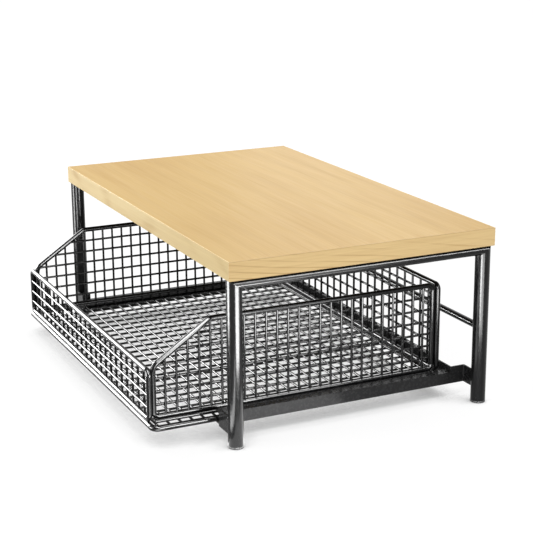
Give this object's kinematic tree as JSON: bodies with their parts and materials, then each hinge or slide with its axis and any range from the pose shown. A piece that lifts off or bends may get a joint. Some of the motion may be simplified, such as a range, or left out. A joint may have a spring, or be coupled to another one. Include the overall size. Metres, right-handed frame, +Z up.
{
  "type": "microwave stand with drawer",
  "caption": "Low worktop stand with a wooden top on a round tube frame and a sliding wire basket drawer with a low front, for an appliance to stand on.",
  "frame": {"origin": "on the floor, at the middle of the whole object's footprint with the drawer where it rests", "axes": "+X to the right seen from the drawer's front, along the wide side; -Y is the way the drawer comes out; +Z up"},
  "size_m": [0.545, 0.4034, 0.21],
  "materials": {
    "board_laminate": "satin pale maple laminate",
    "edge_band": "satin pale maple edge band",
    "black_frame": "satin black powder coat on steel tube",
    "black_sheet": "satin black powder coat on sheet steel",
    "black_wire": "satin black powder coat on welded wire",
    "foot_plastic": "matte black plug",
    "glide_plastic": "smooth black nylon",
    "screw_steel": "dark zinc plate"
  },
  "bodies": {
    "stand": {"top_board": "board_laminate", "front_edge_band": "edge_band", "back_edge_band": "edge_band", "left_edge_band": "edge_band", "right_edge_band": "edge_band", "front_left_leg": "black_frame", "front_right_leg": "black_frame", "rear_left_leg": "black_frame", "rear_right_leg": "black_frame", "front_left_foot": "foot_plastic", "front_right_foot": "foot_plastic", "rear_left_foot": "foot_plastic", "rear_right_foot": "foot_plastic", "left_top_rail": "black_frame", "right_top_rail": "black_frame", "rear_brace": "black_frame", "board_screws": "screw_steel", "left_slide_rail": "black_sheet", "right_slide_rail": "black_sheet", "rear_stop_plate": "black_sheet", "left_glide_strip": "glide_plastic", "right_glide_strip": "glide_plastic"},
    "drawer": {"drawer_front_wall": "black_wire", "drawer_back_wall": "black_wire", "drawer_left_wall": "black_wire", "drawer_right_wall": "black_wire", "drawer_floor": "black_wire", "drawer_stop_lugs": "black_wire"}
  },
  "joints": [
    {"name": "drawer_slide", "type": "slide", "parent": "stand", "child": "drawer", "axis": [0, -1, 0], "range_m": [-0.0055, 0.154]}
  ]
}
